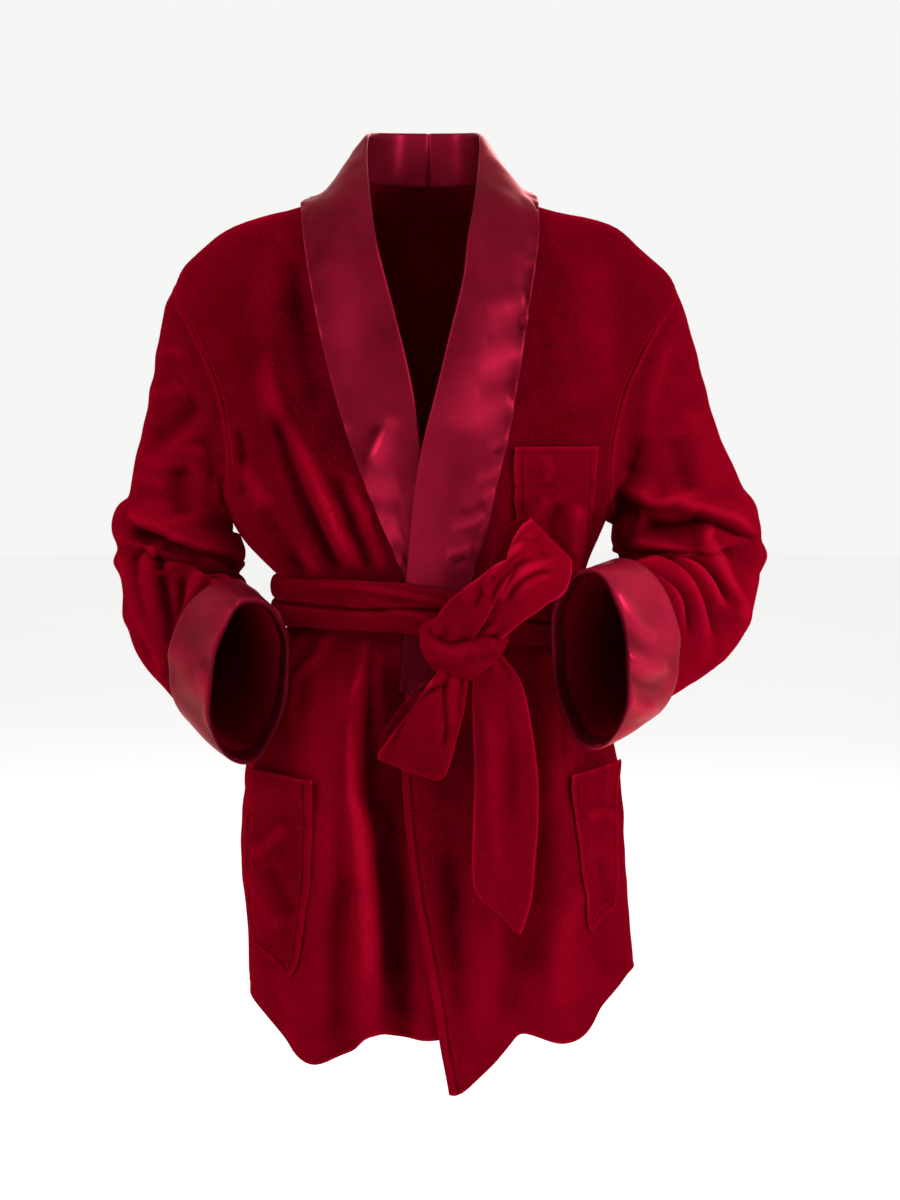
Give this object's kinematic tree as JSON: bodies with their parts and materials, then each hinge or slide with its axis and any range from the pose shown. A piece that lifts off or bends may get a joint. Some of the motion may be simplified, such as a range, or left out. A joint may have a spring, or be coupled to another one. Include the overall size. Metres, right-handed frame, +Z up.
{
  "type": "smoking jacket",
  "caption": "Velvet smoking jacket with a satin shawl collar and cuffs, held closed by its own tied belt, in the hollow form it has when worn.",
  "frame": {"origin": "middle of the neck opening, level with the collar seam, where the jacket hangs on whoever or whatever wears it", "axes": "+Z up the back of the jacket as worn, -Y towards its front, +X towards the wearer's left side"},
  "size_m": [0.6253, 0.3321, 0.8844],
  "materials": {
    "velvet": "short pile velvet, matt in the hollows with a soft red sheen at the turned edges",
    "satin": "satin weave with a smooth soft gloss"
  },
  "bodies": {
    "root": {"back": "velvet", "front_right": "velvet", "front_left": "velvet", "sleeve_right": "velvet", "sleeve_left": "velvet", "pocket_breast": "velvet", "pocket_right": "velvet", "pocket_left": "velvet", "belt_band": "velvet", "belt_knot": "velvet", "belt_loop_upper": "velvet", "belt_loop_lower": "velvet", "belt_end_short": "velvet", "belt_end_long": "velvet", "cuff_right": "satin", "cuff_left": "satin", "collar_right": "satin", "collar_left": "satin"}
  },
  "joints": []
}
